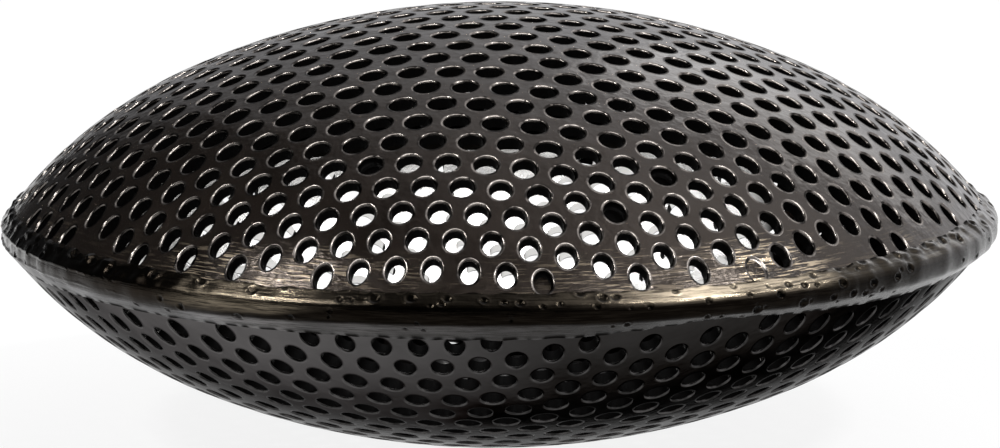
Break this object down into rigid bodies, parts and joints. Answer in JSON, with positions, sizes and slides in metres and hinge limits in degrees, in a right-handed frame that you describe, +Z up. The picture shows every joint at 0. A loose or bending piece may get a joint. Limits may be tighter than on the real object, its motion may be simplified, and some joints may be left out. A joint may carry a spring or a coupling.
{
  "type": "percussion shaker",
  "caption": "Lens-shaped hand percussion shaker: two dished perforated steel sheets welded at a ground rim, with loose steel shot inside.",
  "frame": {"origin": "lowest point of the lower crown, on the axis of the two dishes", "axes": "+Z up along the axis through both crowns, +X to the right and -Y towards the viewer of the picture"},
  "size_m": [0.122, 0.122, 0.0524],
  "materials": {
    "plated_sheet": "glossy dark plating over perforated steel sheet",
    "ground_weld": "ground and polished weld metal under the same dark plating, with pores and grinding lines",
    "shot_steel": "smooth bearing-type steel shot"
  },
  "bodies": {
    "shell": {"upper_dome": "plated_sheet", "lower_dome": "plated_sheet", "rim_weld": "ground_weld"},
    "shot_01": {"shot_01": "shot_steel"},
    "shot_02": {"shot_02": "shot_steel"},
    "shot_03": {"shot_03": "shot_steel"},
    "shot_04": {"shot_04": "shot_steel"},
    "shot_05": {"shot_05": "shot_steel"},
    "shot_06": {"shot_06": "shot_steel"},
    "shot_07": {"shot_07": "shot_steel"},
    "shot_08": {"shot_08": "shot_steel"},
    "shot_09": {"shot_09": "shot_steel"},
    "shot_10": {"shot_10": "shot_steel"},
    "shot_11": {"shot_11": "shot_steel"},
    "shot_12": {"shot_12": "shot_steel"},
    "shot_13": {"shot_13": "shot_steel"},
    "shot_14": {"shot_14": "shot_steel"},
    "shot_15": {"shot_15": "shot_steel"},
    "shot_16": {"shot_16": "shot_steel"},
    "shot_17": {"shot_17": "shot_steel"},
    "shot_18": {"shot_18": "shot_steel"},
    "shot_19": {"shot_19": "shot_steel"},
    "shot_20": {"shot_20": "shot_steel"},
    "shot_21": {"shot_21": "shot_steel"},
    "shot_22": {"shot_22": "shot_steel"},
    "shot_23": {"shot_23": "shot_steel"},
    "shot_24": {"shot_24": "shot_steel"},
    "shot_25": {"shot_25": "shot_steel"},
    "shot_26": {"shot_26": "shot_steel"},
    "shot_27": {"shot_27": "shot_steel"},
    "shot_28": {"shot_28": "shot_steel"},
    "shot_29": {"shot_29": "shot_steel"},
    "shot_30": {"shot_30": "shot_steel"},
    "shot_31": {"shot_31": "shot_steel"},
    "shot_32": {"shot_32": "shot_steel"},
    "shot_33": {"shot_33": "shot_steel"},
    "shot_34": {"shot_34": "shot_steel"},
    "shot_35": {"shot_35": "shot_steel"},
    "shot_36": {"shot_36": "shot_steel"},
    "shot_37": {"shot_37": "shot_steel"}
  },
  "joints": [
    {"name": "shot_01_toss", "type": "slide", "parent": "shell", "child": "shot_01", "axis": [0, 0, 1], "range_m": [0, 0.04473]},
    {"name": "shot_02_toss", "type": "slide", "parent": "shell", "child": "shot_02", "axis": [0, 0, 1], "range_m": [0, 0.04447]},
    {"name": "shot_03_toss", "type": "slide", "parent": "shell", "child": "shot_03", "axis": [0, 0, 1], "range_m": [0, 0.04447]},
    {"name": "shot_04_toss", "type": "slide", "parent": "shell", "child": "shot_04", "axis": [0, 0, 1], "range_m": [0, 0.04447]},
    {"name": "shot_05_toss", "type": "slide", "parent": "shell", "child": "shot_05", "axis": [0, 0, 1], "range_m": [0, 0.04447]},
    {"name": "shot_06_toss", "type": "slide", "parent": "shell", "child": "shot_06", "axis": [0, 0, 1], "range_m": [0, 0.04447]},
    {"name": "shot_07_toss", "type": "slide", "parent": "shell", "child": "shot_07", "axis": [0, 0, 1], "range_m": [0, 0.04447]},
    {"name": "shot_08_toss", "type": "slide", "parent": "shell", "child": "shot_08", "axis": [0, 0, 1], "range_m": [0, 0.04368]},
    {"name": "shot_09_toss", "type": "slide", "parent": "shell", "child": "shot_09", "axis": [0, 0, 1], "range_m": [0, 0.04394]},
    {"name": "shot_10_toss", "type": "slide", "parent": "shell", "child": "shot_10", "axis": [0, 0, 1], "range_m": [0, 0.04368]},
    {"name": "shot_11_toss", "type": "slide", "parent": "shell", "child": "shot_11", "axis": [0, 0, 1], "range_m": [0, 0.04394]},
    {"name": "shot_12_toss", "type": "slide", "parent": "shell", "child": "shot_12", "axis": [0, 0, 1], "range_m": [0, 0.04368]},
    {"name": "shot_13_toss", "type": "slide", "parent": "shell", "child": "shot_13", "axis": [0, 0, 1], "range_m": [0, 0.04394]},
    {"name": "shot_14_toss", "type": "slide", "parent": "shell", "child": "shot_14", "axis": [0, 0, 1], "range_m": [0, 0.04368]},
    {"name": "shot_15_toss", "type": "slide", "parent": "shell", "child": "shot_15", "axis": [0, 0, 1], "range_m": [0, 0.04394]},
    {"name": "shot_16_toss", "type": "slide", "parent": "shell", "child": "shot_16", "axis": [0, 0, 1], "range_m": [0, 0.04368]},
    {"name": "shot_17_toss", "type": "slide", "parent": "shell", "child": "shot_17", "axis": [0, 0, 1], "range_m": [0, 0.04394]},
    {"name": "shot_18_toss", "type": "slide", "parent": "shell", "child": "shot_18", "axis": [0, 0, 1], "range_m": [0, 0.04368]},
    {"name": "shot_19_toss", "type": "slide", "parent": "shell", "child": "shot_19", "axis": [0, 0, 1], "range_m": [0, 0.04394]},
    {"name": "shot_20_roll", "type": "hinge", "parent": "shell", "child": "shot_20", "pos_m": [0, 0, 0.0955], "axis": [0, -1, 0], "range_deg": [0, 15.5]},
    {"name": "shot_21_roll", "type": "hinge", "parent": "shell", "child": "shot_21", "pos_m": [0, 0, 0.0955], "axis": [0.3273, -0.9449, 0], "range_deg": [0, 16.6]},
    {"name": "shot_22_roll", "type": "hinge", "parent": "shell", "child": "shot_22", "pos_m": [0, 0, 0.0955], "axis": [0.6547, -0.7559, 0], "range_deg": [0, 16.6]},
    {"name": "shot_23_roll", "type": "hinge", "parent": "shell", "child": "shot_23", "pos_m": [0, 0, 0.0955], "axis": [0.866, -0.5, 0], "range_deg": [0, 15.5]},
    {"name": "shot_24_roll", "type": "hinge", "parent": "shell", "child": "shot_24", "pos_m": [0, 0, 0.0955], "axis": [0.982, -0.189, 0], "range_deg": [0, 16.6]},
    {"name": "shot_25_roll", "type": "hinge", "parent": "shell", "child": "shot_25", "pos_m": [0, 0, 0.0955], "axis": [0.982, 0.189, 0], "range_deg": [0, 16.6]},
    {"name": "shot_26_roll", "type": "hinge", "parent": "shell", "child": "shot_26", "pos_m": [0, 0, 0.0955], "axis": [0.866, 0.5, 0], "range_deg": [0, 15.5]},
    {"name": "shot_27_roll", "type": "hinge", "parent": "shell", "child": "shot_27", "pos_m": [0, 0, 0.0955], "axis": [0.6547, 0.7559, 0], "range_deg": [0, 16.6]},
    {"name": "shot_28_roll", "type": "hinge", "parent": "shell", "child": "shot_28", "pos_m": [0, 0, 0.0955], "axis": [0.3273, 0.9449, 0], "range_deg": [0, 16.6]},
    {"name": "shot_29_roll", "type": "hinge", "parent": "shell", "child": "shot_29", "pos_m": [0, 0, 0.0955], "axis": [0, 1, 0], "range_deg": [0, 15.5]},
    {"name": "shot_30_roll", "type": "hinge", "parent": "shell", "child": "shot_30", "pos_m": [0, 0, 0.0955], "axis": [-0.3273, 0.9449, 0], "range_deg": [0, 16.6]},
    {"name": "shot_31_roll", "type": "hinge", "parent": "shell", "child": "shot_31", "pos_m": [0, 0, 0.0955], "axis": [-0.6547, 0.7559, 0], "range_deg": [0, 16.6]},
    {"name": "shot_32_roll", "type": "hinge", "parent": "shell", "child": "shot_32", "pos_m": [0, 0, 0.0955], "axis": [-0.866, 0.5, 0], "range_deg": [0, 15.5]},
    {"name": "shot_33_roll", "type": "hinge", "parent": "shell", "child": "shot_33", "pos_m": [0, 0, 0.0955], "axis": [-0.982, 0.189, 0], "range_deg": [0, 16.6]},
    {"name": "shot_34_roll", "type": "hinge", "parent": "shell", "child": "shot_34", "pos_m": [0, 0, 0.0955], "axis": [-0.982, -0.189, 0], "range_deg": [0, 16.6]},
    {"name": "shot_35_roll", "type": "hinge", "parent": "shell", "child": "shot_35", "pos_m": [0, 0, 0.0955], "axis": [-0.866, -0.5, 0], "range_deg": [0, 15.5]},
    {"name": "shot_36_roll", "type": "hinge", "parent": "shell", "child": "shot_36", "pos_m": [0, 0, 0.0955], "axis": [-0.6547, -0.7559, 0], "range_deg": [0, 16.6]},
    {"name": "shot_37_roll", "type": "hinge", "parent": "shell", "child": "shot_37", "pos_m": [0, 0, 0.0955], "axis": [-0.3273, -0.9449, 0], "range_deg": [0, 16.6]}
  ]
}
